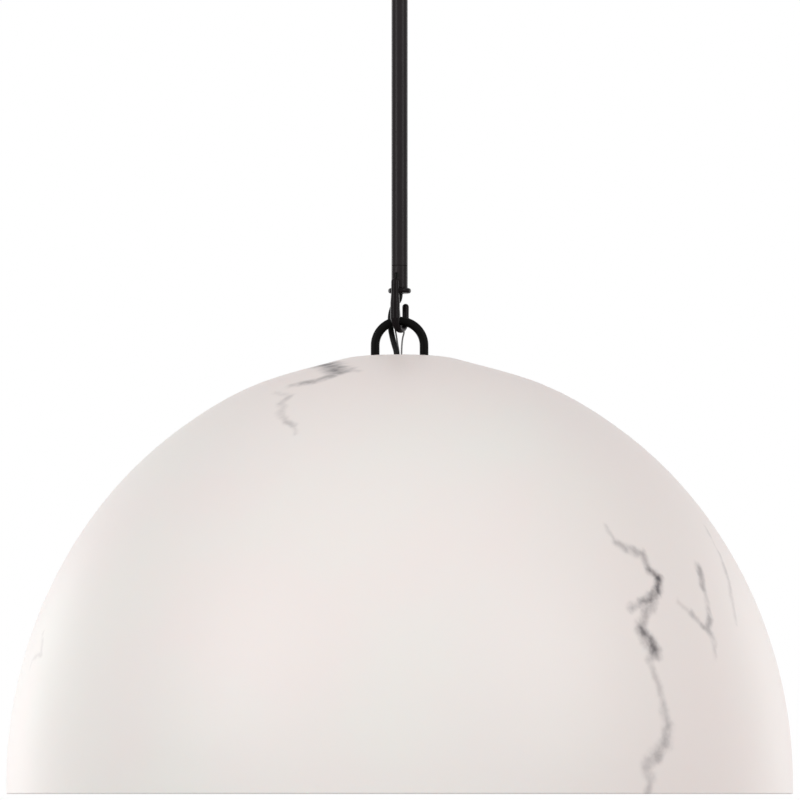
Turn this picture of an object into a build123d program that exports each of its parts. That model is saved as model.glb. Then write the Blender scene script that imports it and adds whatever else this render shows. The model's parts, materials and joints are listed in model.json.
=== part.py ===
from build123d import *
import math
import os

# Alabaster bowl pendant on a rod and hook. Millimetres, +Z up.
# Origin: on the ceiling plane, at the middle of the crossbar. Everything hangs below it.
# -Y is the front, and the arch of the hanging loop is seen from there.

# ---------- driving dimensions ----------

# stone bowl, opening down: half an ellipse above a short straight skirt
BOWL_DIAMETER = 609.6
BOWL_DEPTH = 340.6
BOWL_SKIRT = 8.6
BOWL_WALL = 12.0
CROWN_WALL = 16.0  # thickness at the crown before the seat is cut
RIM_ROUND = 1.2
DOME_SPANS = 9  # points that carry each dome curve
SEAT_DIAMETER = 84.0  # flat seat cut in the crown from inside
SEAT_WALL = 14.0  # stone left above the seat

# hanging loop: a bent round bar with two legs through the stone
LOOP_BAR = 6.85
LOOP_SPACING = 38.1
LOOP_LEG_SHOWN = 8.3  # straight leg above the crown
SLEEVE_WALL = 1.5
THREAD_SPARE = 4.0  # leg end below the nut

# rod and its end piece
ROD_DIAMETER = 12.7
ROD_LENGTH = 304.8
ROD_WALL = 1.2
SPIGOT_LENGTH = 12.0
END_PIECE_LENGTH = 17.6
CORD_BORE = 6.8
COLLAR_DIAMETER = 17.9
COLLAR_THICKNESS = 4.1
GRIP_HOLE = 4.4
GRIP_HOLE_HEIGHT = 9.8  # above the bottom of the end piece
GRIP_SCREW_LENGTH = 2.2

# hook: tapers from the shank round the bend to the tip
HOOK_DROP = 21.6  # from the collar to the middle of the loop's bar
HOOK_TOP_BAR = 6.2
HOOK_SHANK_BAR = 7.4
HOOK_BEND_BAR = 5.0
HOOK_TIP_BAR = 5.2
HOOK_TOP_RISE = 7.4  # top of the shank above the bottom of the end piece
HOOK_SWELL_LENGTH = 8.0  # over which the shank swells below the collar
HOOK_TIP_RISE = 14.1  # top of the tip above the middle of the loop's bar
SHANK_X = -3.5
TIP_X = 4.65

# swivel
PIVOT_BALL = 15.4
FORK_EAR = 3.0
FORK_EAR_WIDTH = 12.0
FORK_DISC = 24.0
FORK_DISC_THICKNESS = 4.0
FORK_NECK = 10.0
FORK_NECK_LENGTH = 5.3
FORK_FLANGE = 15.0
FORK_FLANGE_THICKNESS = 3.7
KNUCKLE_REACH = 12.0  # from the pivot to the top of the rod
SHOULDER = 5.0
SCREW_HEAD = 9.0
SCREW_HEAD_THICKNESS = 2.2
SOCKET_DIAMETER = 24.0
SOCKET_GRIP = 6.0  # threaded part on the nipple
CAP_THICKNESS = 3.5

# ceiling set
BAR_LENGTH = 101.6
BAR_WIDTH = 22.0
BAR_THICKNESS = 2.5
SLOT_SPACING = 79.4
SLOT_LENGTH = 14.0
SLOT_WIDTH = 4.4
NIPPLE_DIAMETER = 9.6
NIPPLE_BORE = 6.6
NUT_FLATS = 16.0
NUT_THICKNESS = 4.0
CANOPY_DIAMETER = 127.0
CANOPY_DEPTH = 25.0
CANOPY_WALL = 1.5
CANOPY_ROUND = 6.0
RING_NUT_DIAMETER = 22.0
RING_NUT_THICKNESS = 6.0
GROUND_SCREW = 4.0
GROUND_SCREW_X = 20.0
GROUND_HEAD = 8.5
GROUND_HEAD_THICKNESS = 2.8
LEAD_WINDOW_DROP = 15.0  # from the ceiling to the middle of the nipple's window
CONNECTOR_DIAMETER = 11.0
CONNECTOR_LENGTH = 19.0
CONNECTOR_SPACING = 16.0
CONNECTOR_Y = -34.0

# cord and wires
CORD = 4.5
WIRE = 1.3
LEAD = 2.2

# crown hardware and lamp hub inside the bowl
PAD_MARGIN = 2.0  # between the pad's edge and the side of the seat
PAD_DIAMETER = SEAT_DIAMETER - 2 * PAD_MARGIN
PAD_THICKNESS = 3.0
PLATE_MARGIN = 2.0  # of the pad shown round the plate
PLATE_DIAMETER = PAD_DIAMETER - 2 * PLATE_MARGIN
PLATE_THICKNESS = 4.0
WASHER_DIAMETER = 16.0
WASHER_THICKNESS = 1.6
LOOP_NUT_FLATS = 13.0
LOOP_NUT_THICKNESS = 6.0
GROMMET_DIAMETER = 13.0
GROMMET_BORE = 9.0
HUB_NIPPLE = 13.0
HUB_NIPPLE_BORE = 9.8
HUB_NIPPLE_DROP = 26.0  # from the plate to the top of the hub
HUB_NUT_FLATS = 19.0
HUB_DIAMETER = 66.0
HUB_HEIGHT = 40.0
HUB_WALL = 2.0
HUB_ROUND = 4.0
COVER_THICKNESS = 3.0
CAP_NUT_FLATS = 10.0
CAP_NUT_THICKNESS = 5.0
STUD_DIAMETER = 5.0

# lamps: they point outwards and down
LAMP_COUNT = 3
LAMP_DIP = 30.0
LAMP_TURN = 90.0  # direction of the first lamp, from +X
LAMP_RISE = 9.0  # of the lamps' crossing point above the hub's middle
SOCKET_NIPPLE = 9.6
SOCKET_NIPPLE_BORE = 2.8
SOCKET_BACK = 50.0  # along the lamp's axis from where the axes cross
LAMP_SOCKET_DIAMETER = 38.0
LAMP_SOCKET_LENGTH = 46.0
LAMP_SOCKET_WALL = 3.0
LAMP_SOCKET_BACK_WALL = 12.0
SHELL_OUTER = 29.0
SHELL_WALL = 0.8
SHELL_LENGTH = 27.0
BASE_DIAMETER = 26.4
BASE_LENGTH = 25.0
BASE_WALL = 1.0
BULB_DIAMETER = 60.0
BULB_LENGTH = 82.0  # glass, from the base to the front
BULB_NECK = 25.0
BULB_WALL = 1.0

# clearances
SLIP = 0.05  # parts put together by hand, radial
RUN = 0.1  # parts that turn or swing on each other
SIDE = 0.35  # loose parts beside each other
HOOK_SEAT = 0.9  # under the loop's bar in the hook's bend
HOOK_ROOM = 1.1  # between the hook's legs and the loop's bar

# ---------- heights, from the ceiling down ----------

Z_BAR = -BAR_THICKNESS
Z_LOCK_NUT = Z_BAR - NUT_THICKNESS
Z_LEAD_WINDOW = -LEAD_WINDOW_DROP
Z_CANOPY = -CANOPY_DEPTH
Z_RING_NUT = Z_CANOPY - RING_NUT_THICKNESS
Z_SOCKET_GRIP = Z_RING_NUT - SOCKET_GRIP
Z_FLANGE_TOP = Z_SOCKET_GRIP - RUN
Z_CAP_TOP = Z_FLANGE_TOP - FORK_FLANGE_THICKNESS - RUN
Z_CAP = Z_CAP_TOP - CAP_THICKNESS
Z_FORK_DISC = Z_FLANGE_TOP - FORK_FLANGE_THICKNESS - FORK_NECK_LENGTH
Z_FORK_UNDER = Z_FORK_DISC - FORK_DISC_THICKNESS
Z_PIVOT = Z_FORK_UNDER - PIVOT_BALL / 2 - SIDE
Z_ROD_TOP = Z_PIVOT - KNUCKLE_REACH
Z_SEAM = Z_ROD_TOP - ROD_LENGTH
Z_END = Z_SEAM - END_PIECE_LENGTH
Z_COLLAR = Z_END - COLLAR_THICKNESS
Z_HANG = Z_COLLAR - HOOK_DROP  # middle of the loop's bar, where the bowl swings
Z_ARCH = Z_HANG - LOOP_SPACING / 2
Z_CROWN = Z_ARCH - LOOP_LEG_SHOWN
Z_RIM = Z_CROWN - BOWL_DEPTH
Z_SEAT = Z_CROWN - SEAT_WALL
Z_PAD = Z_SEAT - PAD_THICKNESS
Z_PLATE = Z_PAD - PLATE_THICKNESS
Z_WASHER = Z_PLATE - WASHER_THICKNESS
Z_LOOP_NUT = Z_WASHER - LOOP_NUT_THICKNESS
Z_LEG_END = Z_LOOP_NUT - THREAD_SPARE
Z_HUB = Z_PLATE - HUB_NIPPLE_DROP
Z_HUB_MIDDLE = Z_HUB - HUB_HEIGHT / 2
Z_HUB_OPEN = Z_HUB - HUB_HEIGHT

LEG_HOLE = LOOP_BAR + 2 * SLEEVE_WALL + 2 * SLIP


# ---------- small helpers ----------

def disc(radius, z_low, z_high, x=0.0, y=0.0):
    """An upright cylinder between two heights."""
    return Pos(x, y, (z_low + z_high) / 2) * Cylinder(radius, z_high - z_low)


def ring(radius, bore_radius, z_low, z_high, x=0.0, y=0.0):
    return disc(radius, z_low, z_high, x, y) - disc(bore_radius, z_low - 1, z_high + 1, x, y)


def hex_nut(flats, bore_radius, z_low, z_high, x=0.0, y=0.0):
    outline = Pos(x, y, z_low) * RegularPolygon(flats / 2, 6, major_radius=False)
    nut = extrude(outline, z_high - z_low)
    return nut - disc(bore_radius, z_low - 1, z_high + 1, x, y)


def flat_edges(part, z):
    """Edges that lie level at one height."""
    return [e for e in part.edges() if all(abs(v.Z - z) < 1e-4 for v in e.vertices())]


def outer_edge(part, z):
    """The longest of the edges that lie level at one height."""
    return max(flat_edges(part, z), key=lambda edge: edge.length)


def along_lamp(turn):
    """Frame where the lamps' axes cross, whose Z runs out along one lamp."""
    return Pos(0, 0, Z_HUB_MIDDLE + LAMP_RISE) * Rot(0, 0, turn) * Rot(0, 90 + LAMP_DIP, 0)


def lamp_turns():
    return [LAMP_TURN + 360 * i / LAMP_COUNT for i in range(LAMP_COUNT)]


def route_tube(name, points, diameter):
    """A tube on straight runs joined by tangent arcs as large as the runs allow."""
    route = [Vector(*p) for p in points]
    radii = []
    for before, here, after in zip(route, route[1:], route[2:]):
        turn = (here - before).get_angle(after - here)
        run = min((here - before).length, (after - here).length)
        radii.append(0.45 * run / math.tan(math.radians(turn / 2)))
    path = FilletPolyline(*route, radius=radii)
    start = Plane(origin=path @ 0, z_dir=path % 0)
    tube = sweep(start * Circle(diameter / 2), path=path)
    section = math.pi * diameter ** 2 / 4
    print(name, "length", round(path.length, 1), "radii", [round(r, 1) for r in radii],
          "volume over section times length", round(tube.volume / section / path.length, 4))
    return tube


# ---------- ceiling set ----------

def crossbar():
    bar = Pos(0, 0, Z_BAR / 2) * Box(BAR_LENGTH, BAR_WIDTH, BAR_THICKNESS)
    bar = fillet(bar.edges().filter_by(Axis.Z), BAR_WIDTH / 5)
    bar -= disc(NIPPLE_DIAMETER / 2 + SLIP, Z_BAR - 1, 1)
    bar -= disc(GROUND_SCREW / 2 + SLIP, Z_BAR - 1, 1, GROUND_SCREW_X)
    for side in (-1, 1):
        slot = Pos(side * SLOT_SPACING / 2, 0, Z_BAR - 1) * SlotOverall(SLOT_LENGTH, SLOT_WIDTH)
        bar -= extrude(slot, BAR_THICKNESS + 2)
    return bar


def ground_screw():
    head = disc(GROUND_HEAD / 2, Z_BAR - GROUND_HEAD_THICKNESS, Z_BAR, GROUND_SCREW_X)
    slot = Pos(GROUND_SCREW_X, 0, Z_BAR - GROUND_HEAD_THICKNESS) * Box(GROUND_HEAD, 1.2, 2.0)
    return head - slot + disc(GROUND_SCREW / 2, Z_BAR, 0, GROUND_SCREW_X)


def lead_heights():
    """Where the three leads pass the window of the nipple, one above the other."""
    step = LEAD + 2 * SIDE
    return [Z_LEAD_WINDOW + step * i for i in (1, 0, -1)]


def threaded_nipple():
    nipple = ring(NIPPLE_DIAMETER / 2, NIPPLE_BORE / 2, Z_SOCKET_GRIP + RUN, 0)
    height = 3 * (LEAD + 2 * SIDE) + 1
    return nipple - Pos(0, -NIPPLE_DIAMETER / 2, Z_LEAD_WINDOW) * Box(LEAD + 1, NIPPLE_DIAMETER, height)


def nipple_lock_nut():
    return hex_nut(NUT_FLATS, NIPPLE_DIAMETER / 2 + SLIP, Z_LOCK_NUT, Z_BAR)


def canopy():
    outer = disc(CANOPY_DIAMETER / 2, Z_CANOPY, 0)
    outer = fillet(flat_edges(outer, Z_CANOPY), CANOPY_ROUND)
    inner = disc(CANOPY_DIAMETER / 2 - CANOPY_WALL, Z_CANOPY + CANOPY_WALL, 1)
    inner = fillet(flat_edges(inner, Z_CANOPY + CANOPY_WALL), CANOPY_ROUND - CANOPY_WALL)
    return outer - inner - disc(NIPPLE_DIAMETER / 2 + SLIP, Z_CANOPY - 1, 0)


def canopy_ring_nut():
    nut = ring(RING_NUT_DIAMETER / 2, NIPPLE_DIAMETER / 2 + SLIP, Z_RING_NUT, Z_CANOPY)
    return chamfer(outer_edge(nut, Z_RING_NUT), 0.8)


def swivel_socket():
    socket = disc(SOCKET_DIAMETER / 2, Z_CAP_TOP, Z_RING_NUT)
    socket -= disc(NIPPLE_DIAMETER / 2 + SLIP, Z_SOCKET_GRIP, Z_RING_NUT + 1)
    return socket - disc(FORK_FLANGE / 2 + RUN, Z_CAP_TOP - 1, Z_SOCKET_GRIP)


def swivel_cap():
    return ring(SOCKET_DIAMETER / 2, FORK_NECK / 2 + RUN, Z_CAP, Z_CAP_TOP)


def connector_places():
    return [(CONNECTOR_SPACING * i, CONNECTOR_Y) for i in (-1, 0, 1)]


def wire_connectors():
    z_low = Z_CANOPY + CANOPY_WALL
    shape = Cone(CONNECTOR_DIAMETER / 2, CONNECTOR_DIAMETER * 0.36, CONNECTOR_LENGTH)
    lying = Rot(90, 0, 0) * shape
    group = []
    for x, y in connector_places():
        group.append(Pos(x, y, z_low + CONNECTOR_DIAMETER / 2) * lying)
    return group


def canopy_leads():
    """One lead from each connector, through the window, into the nipple."""
    group = []
    z_connector = Z_CANOPY + CANOPY_WALL + CONNECTOR_DIAMETER / 2
    for (x, y), z_window in zip(connector_places(), lead_heights()):
        mouth = y + CONNECTOR_LENGTH / 2
        route = [(x, mouth, z_connector), (x, mouth + 5, z_connector),
                 (x * 0.45 + 0.4, mouth + 11, (z_connector + z_window) / 2 + 0.4),
                 (0.05, mouth + 16, z_window), (0, -1.5, z_window)]
        group.append(route_tube("canopy lead", route, LEAD))
    return group


# ---------- swivel ----------

def swivel_fork():
    """Flange, neck and disc on the turning axis, with two ears beside the pivot."""
    flange = disc(FORK_FLANGE / 2, Z_FLANGE_TOP - FORK_FLANGE_THICKNESS, Z_FLANGE_TOP)
    neck = disc(FORK_NECK / 2, Z_FORK_DISC, Z_FLANGE_TOP - 1)
    plate = disc(FORK_DISC / 2, Z_FORK_UNDER, Z_FORK_DISC)
    fork = flange + neck + plate
    ear_inside = PIVOT_BALL / 2 + SIDE
    for side in (-1, 1):
        x = side * (ear_inside + FORK_EAR / 2)
        strap_height = Z_FORK_UNDER + 1 - Z_PIVOT
        strap = Pos(x, 0, Z_PIVOT + strap_height / 2) * Box(FORK_EAR, FORK_EAR_WIDTH, strap_height)
        round_end = Pos(x, 0, Z_PIVOT) * Rot(0, 90, 0) * Cylinder(FORK_EAR_WIDTH / 2, FORK_EAR)
        fork += strap + round_end
    fork -= disc(NIPPLE_BORE / 2, Z_FORK_UNDER - 1, Z_FLANGE_TOP + 1)
    return fork - Pos(0, 0, Z_PIVOT) * Rot(0, 90, 0) * Cylinder(SHOULDER / 2 + SLIP, FORK_DISC)


def swivel_knuckle():
    """A round-topped block on the pivot with a spigot that screws into the rod."""
    radius = PIVOT_BALL / 2
    knuckle = Pos(0, 0, Z_PIVOT) * Sphere(radius) + disc(radius, Z_ROD_TOP, Z_PIVOT)
    knuckle += disc(ROD_DIAMETER / 2 - ROD_WALL - SLIP, Z_ROD_TOP - SPIGOT_LENGTH, Z_ROD_TOP)
    knuckle -= disc(CORD_BORE / 2, Z_ROD_TOP - SPIGOT_LENGTH - 1, Z_PIVOT + radius + 1)
    # bell mouth, so that the cord bends freely when the rod tilts
    knuckle -= Pos(0, 0, Z_PIVOT + radius / 2) * Cone(CORD_BORE / 2, radius * 0.72, radius)
    return knuckle - Pos(0, 0, Z_PIVOT) * Rot(0, 90, 0) * Cylinder(SHOULDER / 2, 3 * radius)


def swivel_screws():
    """Two shoulder screws: bearing in the ears, thread in the knuckle."""
    group = []
    inside = CORD_BORE / 2 + SIDE
    ear_outside = PIVOT_BALL / 2 + SIDE + FORK_EAR + RUN
    for side in (-1, 1):
        turned = Pos(0, 0, Z_PIVOT) * Rot(0, side * 90, 0)
        shank = turned * Pos(0, 0, (inside + ear_outside) / 2) * Cylinder(SHOULDER / 2, ear_outside - inside)
        head = Cylinder(SCREW_HEAD / 2, SCREW_HEAD_THICKNESS)
        head = fillet(head.edges().sort_by(Axis.Z)[-1], 0.8)
        head -= Pos(0, 0, SCREW_HEAD_THICKNESS / 2) * Box(SCREW_HEAD, 1.2, 1.6)
        head = turned * Pos(0, 0, ear_outside + SCREW_HEAD_THICKNESS / 2) * head
        bore = disc(CORD_BORE / 2 + SIDE, Z_PIVOT - SHOULDER, Z_PIVOT + SHOULDER)
        group.append(shank + head - bore)
    return group


# ---------- rod, end piece and hook ----------

def rod():
    tube = ring(ROD_DIAMETER / 2, ROD_DIAMETER / 2 - ROD_WALL, Z_SEAM, Z_ROD_TOP)
    return chamfer(outer_edge(tube, Z_SEAM), 0.2)


def shank_place():
    """Front-left of the loop's bar and just clear of it."""
    return SHANK_X, -(LOOP_BAR / 2 + HOOK_SHANK_BAR / 2 + HOOK_ROOM)


def tip_place():
    return TIP_X, LOOP_BAR / 2 + HOOK_TIP_BAR / 2 + HOOK_ROOM


def shank_bed():
    """The room for the shank in the end piece and its collar."""
    x, y = shank_place()
    return disc(HOOK_TOP_BAR / 2 + SLIP, Z_COLLAR - 1, Z_END + HOOK_TOP_RISE + 1, x, y)


def grip_frame():
    """Frame on the cord's axis whose Z points out through the side hole."""
    x, y = shank_place()
    return Pos(0, 0, Z_END + GRIP_HOLE_HEIGHT) * Rot(0, 0, math.degrees(math.atan2(y, x))) * Rot(0, 90, 0)


def end_piece():
    radius = ROD_DIAMETER / 2
    piece = disc(radius, Z_END, Z_SEAM)
    piece = chamfer(flat_edges(piece, Z_SEAM) + flat_edges(piece, Z_END), 0.3)
    piece += disc(radius - ROD_WALL - SLIP, Z_SEAM - 1, Z_SEAM + SPIGOT_LENGTH)
    piece -= disc(CORD_BORE / 2, Z_END - 1, Z_SEAM + SPIGOT_LENGTH + 1)
    hole = grip_frame() * Pos(0, 0, radius) * Cylinder(GRIP_HOLE / 2, 2 * radius)
    return piece - hole - shank_bed()


def cord_grip_screw():
    screw = Pos(0, 0, CORD_BORE / 2 + GRIP_SCREW_LENGTH / 2) * Cylinder(GRIP_HOLE / 2, GRIP_SCREW_LENGTH)
    slot_place = Pos(0, 0, CORD_BORE / 2 + GRIP_SCREW_LENGTH)
    screw -= slot_place * Box(GRIP_HOLE, 0.9, 1.2)
    screw = grip_frame() * screw
    screw -= disc(CORD_BORE / 2, Z_END, Z_SEAM)
    return screw - shank_bed()


def end_collar():
    collar = disc(COLLAR_DIAMETER / 2, Z_COLLAR, Z_END)
    level = flat_edges(collar, Z_COLLAR) + flat_edges(collar, Z_END)
    collar = fillet(level, COLLAR_THICKNESS / 2 - 0.15)
    return collar - disc(CORD_BORE / 2, Z_COLLAR - 1, Z_END + 1) - shank_bed()


def hook():
    """Round bar: straight shank, swell, tapering half-circle bend, straight tip."""
    shank_x, shank_y = shank_place()
    tip_x, tip_y = tip_place()
    shank = Vector(shank_x, shank_y, 0)
    tip = Vector(tip_x, tip_y, 0)
    across = (tip - shank).normalized()
    bend_radius = (tip - shank).length / 2
    middle = (shank + tip) / 2
    z_bottom = Z_HANG - LOOP_BAR / 2 - HOOK_SEAT - HOOK_BEND_BAR / 2
    z_bend = z_bottom + bend_radius
    z_top = Z_END + HOOK_TOP_RISE
    z_swell = Z_COLLAR - HOOK_SWELL_LENGTH

    sections = []
    steps = 8
    for i in range(steps + 1):
        angle = math.pi * i / steps
        if angle <= math.pi / 2:
            share = math.sin(angle)
            bar = HOOK_SHANK_BAR + (HOOK_BEND_BAR - HOOK_SHANK_BAR) * share
        else:
            share = (1 - math.cos(2 * angle - math.pi)) / 2
            bar = HOOK_BEND_BAR + (HOOK_TIP_BAR - HOOK_BEND_BAR) * share
        centre = middle - across * (bend_radius * math.cos(angle))
        centre += Vector(0, 0, z_bend - bend_radius * math.sin(angle))
        along = across * math.sin(angle) - Vector(0, 0, math.cos(angle))
        sections.append(Plane(origin=centre, z_dir=along) * Circle(bar / 2))
    bar = loft(sections)

    top_radius = HOOK_TOP_BAR / 2
    bar += disc(HOOK_SHANK_BAR / 2, z_bend, z_swell, shank_x, shank_y)
    swell = Cone(HOOK_SHANK_BAR / 2, top_radius, HOOK_SWELL_LENGTH)
    bar += Pos(shank_x, shank_y, (z_swell + Z_COLLAR) / 2) * swell
    bar += disc(top_radius, Z_COLLAR, z_top - top_radius, shank_x, shank_y)
    bar += Pos(shank_x, shank_y, z_top - top_radius) * Sphere(top_radius)
    z_tip = Z_HANG + HOOK_TIP_RISE - HOOK_TIP_BAR / 2
    bar += disc(HOOK_TIP_BAR / 2, z_bend, z_tip, tip_x, tip_y)
    return bar + Pos(tip_x, tip_y, z_tip) * Sphere(HOOK_TIP_BAR / 2)


# ---------- cord and wires ----------
# Points as (x, y, height above the crown of the bowl).

CORD_IN_ROD = (0.2, 0.9)
GROUND_IN_ROD = (-0.7, -2.45)
SAFETY_IN_ROD = (-2.3, -1.1)
CORD_IN_CROWN = (-2.15, 0.3)
GROUND_IN_CROWN = (1.5, 1.0)
SAFETY_IN_CROWN = (-0.45, 2.95)
CORD_DIP = 2.0  # the free stretches end this far inside the grommet

CORD_BENDS = [(-2.9, 2.1, 41.5), (-5.5, 4.2, 38.0), (-6.9, 6.4, 33.0), (-7.25, 7.6, 27.2), (-6.9, 7.0, 20.8),
              (-4.6, 3.3, 10.4)]
GROUND_BENDS = [(-0.8, -1.5, 41.6), (-0.5, 1.6, 37.6), (-0.1, 4.9, 33.6), (0.1, 7.4, 28.6), (1.2, 8.6, 23.6),
                (3.9, 7.9, 19.8), (2.4, 5.2, 15.0), (1.8, 2.9, 9.8)]
SAFETY_BENDS = [(-2.5, -1.7, 41.0), (-2.5, 0.5, 36.8), (-2.8, 4.3, 32.6), (-3.75, 6.8, 27.4),
                (-3.45, 6.7, 21.2), (-2.3, 6.2, 15.2), (-1.5, 5.1, 9.2)]
COLLAR_RUN = 4.5  # straight below the collar
CROWN_RUN = 5.0  # straight above the grommet


def free_route(top, bends, bottom):
    """Upright out of the collar, round the bends, upright into the grommet."""
    z_end = Z_CROWN - CORD_DIP
    route = [(*top, Z_COLLAR), (*top, Z_COLLAR - COLLAR_RUN)]
    route += [(x, y, Z_CROWN + rise) for x, y, rise in bends]
    return route + [(*bottom, z_end + CROWN_RUN), (*bottom, z_end)]


def upright(place, diameter, z_low, z_high):
    return disc(diameter / 2, z_low, z_high, *place)


# ---------- bowl ----------

def dome_section(semi_width, semi_height, z_low, z_spring):
    """Half section: a curve through points of a quarter ellipse above a straight skirt."""
    top = z_spring + semi_height
    angles = [math.radians(90 * i / DOME_SPANS) for i in range(DOME_SPANS + 1)]
    points = [(semi_width * math.cos(a), z_spring + semi_height * math.sin(a)) for a in angles]
    curve = Spline(*points, tangents=[(0, 1), (-1, 0)])
    outline = Polyline((0, top), (0, z_low), (semi_width, z_low), (semi_width, z_spring))
    return make_face([curve, outline])


def section_block(radius, z_low, z_high):
    return Pos(radius / 2, (z_low + z_high) / 2) * Rectangle(radius, z_high - z_low)


def alabaster_bowl():
    """One half section with its seat, grommet hole and rounded rim, turned about the axis."""
    radius = BOWL_DIAMETER / 2
    z_spring = Z_RIM + BOWL_SKIRT
    rise = BOWL_DEPTH - BOWL_SKIRT
    section = dome_section(radius, rise, Z_RIM, z_spring)
    section -= dome_section(radius - BOWL_WALL, rise - CROWN_WALL, Z_RIM - 1, z_spring)
    section -= section_block(SEAT_DIAMETER / 2, Z_SEAT - CROWN_WALL, Z_SEAT)
    section -= section_block(GROMMET_DIAMETER / 2 + SLIP, Z_SEAT - 1, Z_CROWN + 1)
    section = fillet([v for v in section.vertices() if abs(v.Y - Z_RIM) < 1e-4], RIM_ROUND)
    bowl = revolve(Plane.XZ * section, Axis.Z)
    for x in leg_places():
        bowl -= disc(LEG_HOLE / 2, Z_SEAT - 1, Z_CROWN + 1, x)
    return bowl


def leg_places():
    return (-LOOP_SPACING / 2, LOOP_SPACING / 2)


def hanging_loop():
    arch = Pos(0, 0, Z_ARCH) * Rot(90, 0, 0) * Torus(LOOP_SPACING / 2, LOOP_BAR / 2)
    arch &= Pos(0, 0, Z_ARCH + LOOP_SPACING / 2) * Box(2 * LOOP_SPACING, 2 * LOOP_BAR, LOOP_SPACING)
    for x in leg_places():
        leg = disc(LOOP_BAR / 2, Z_LEG_END, Z_ARCH, x)
        arch += chamfer(flat_edges(leg, Z_LEG_END), 0.6)
    return arch


def crown_depth(distance):
    """How far the stone's outside lies below the crown at a distance from the axis."""
    rise = BOWL_DEPTH - BOWL_SKIRT
    return rise * (1 - math.sqrt(1 - (2 * distance / BOWL_DIAMETER) ** 2))


def leg_sleeves():
    z_top = Z_CROWN - crown_depth(LOOP_SPACING / 2 + LEG_HOLE / 2) - 0.3
    return [ring(LEG_HOLE / 2 - SLIP, LOOP_BAR / 2 + SLIP, Z_SEAT, z_top, x) for x in leg_places()]


def cord_grommet():
    return ring(GROMMET_DIAMETER / 2, GROMMET_BORE / 2, Z_SEAT, Z_CROWN - 0.3)


def crown_disc(diameter, z_low, z_high, centre_hole):
    """A disc under the crown with holes for the two legs."""
    plate = ring(diameter / 2, centre_hole / 2, z_low, z_high)
    for x in leg_places():
        plate -= disc(LOOP_BAR / 2 + SLIP, z_low - 1, z_high + 1, x)
    return plate


def crown_pad():
    return crown_disc(PAD_DIAMETER, Z_PAD, Z_SEAT, HUB_NIPPLE + 2 * SLIP)


def spreader_plate():
    return crown_disc(PLATE_DIAMETER, Z_PLATE, Z_PAD, HUB_NIPPLE + 2 * SLIP)


def loop_washers():
    return [ring(WASHER_DIAMETER / 2, LOOP_BAR / 2 + SLIP, Z_WASHER, Z_PLATE, x) for x in leg_places()]


def loop_nuts():
    return [hex_nut(LOOP_NUT_FLATS, LOOP_BAR / 2 + SLIP, Z_LOOP_NUT, Z_WASHER, x) for x in leg_places()]


# ---------- lamp hub ----------

def hub_nipple():
    return ring(HUB_NIPPLE / 2, HUB_NIPPLE_BORE / 2, Z_HUB - HUB_WALL - NUT_THICKNESS, Z_SEAT)


def hub_nuts():
    """One nut under the plate, one over the hub and one inside it."""
    radius = HUB_NIPPLE / 2 + SLIP
    levels = (Z_PLATE - NUT_THICKNESS, Z_HUB, Z_HUB - HUB_WALL - NUT_THICKNESS)
    return [hex_nut(HUB_NUT_FLATS, radius, z, z + NUT_THICKNESS) for z in levels]


def lamp_hub():
    outer = disc(HUB_DIAMETER / 2, Z_HUB_OPEN, Z_HUB)
    outer = fillet(flat_edges(outer, Z_HUB), HUB_ROUND)
    inner = disc(HUB_DIAMETER / 2 - HUB_WALL, Z_HUB_OPEN - 1, Z_HUB - HUB_WALL)
    inner = fillet(flat_edges(inner, Z_HUB - HUB_WALL), HUB_ROUND - HUB_WALL)
    hub = outer - inner - disc(HUB_NIPPLE / 2 + SLIP, Z_HUB_OPEN, Z_HUB + 1)
    for turn in lamp_turns():
        hub -= along_lamp(turn) * Pos(0, 0, SOCKET_BACK / 2) * Cylinder(SOCKET_NIPPLE / 2 + SLIP, SOCKET_BACK)
    return hub


def cover_studs():
    """Two studs from the hub's ceiling that hold the cover."""
    z_low = Z_HUB_OPEN - COVER_THICKNESS - CAP_NUT_THICKNESS + 1
    return [disc(STUD_DIAMETER / 2, z_low, Z_HUB - HUB_WALL, x) for x in stud_places()]


def stud_places():
    return (-HUB_DIAMETER * 0.3, HUB_DIAMETER * 0.3)


def hub_cover():
    cover = disc(HUB_DIAMETER / 2, Z_HUB_OPEN - COVER_THICKNESS, Z_HUB_OPEN)
    cover = fillet(flat_edges(cover, Z_HUB_OPEN - COVER_THICKNESS), COVER_THICKNESS / 2)
    for x in stud_places():
        cover -= disc(STUD_DIAMETER / 2 + SLIP, Z_HUB_OPEN - COVER_THICKNESS - 1, Z_HUB_OPEN + 1, x)
    return cover


def cap_nuts():
    group = []
    z_high = Z_HUB_OPEN - COVER_THICKNESS
    for x in stud_places():
        nut = hex_nut(CAP_NUT_FLATS, STUD_DIAMETER / 2 + SLIP, z_high - CAP_NUT_THICKNESS, z_high, x)
        cap = disc(CAP_NUT_FLATS * 0.45, z_high - CAP_NUT_THICKNESS - 1.5, z_high - CAP_NUT_THICKNESS, x)
        group.append(nut + fillet(flat_edges(cap, z_high - CAP_NUT_THICKNESS - 1.5), 1.2))
    return group


def lamp_tube(turn, radius, start, end):
    return along_lamp(turn) * Pos(0, 0, (start + end) / 2) * Cylinder(radius, end - start)


SOCKET_FLOOR = SOCKET_BACK + LAMP_SOCKET_BACK_WALL
SOCKET_MOUTH = SOCKET_BACK + LAMP_SOCKET_LENGTH
BASE_START = SOCKET_FLOOR + 2.0
BASE_END = BASE_START + BASE_LENGTH
NIPPLE_INSIDE = HUB_DIAMETER / 2 - 8


def socket_nipple(turn):
    tube = lamp_tube(turn, SOCKET_NIPPLE / 2, NIPPLE_INSIDE, SOCKET_BACK + LAMP_SOCKET_BACK_WALL / 2)
    return tube - lamp_tube(turn, SOCKET_NIPPLE_BORE / 2, 0, SOCKET_MOUTH)


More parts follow.
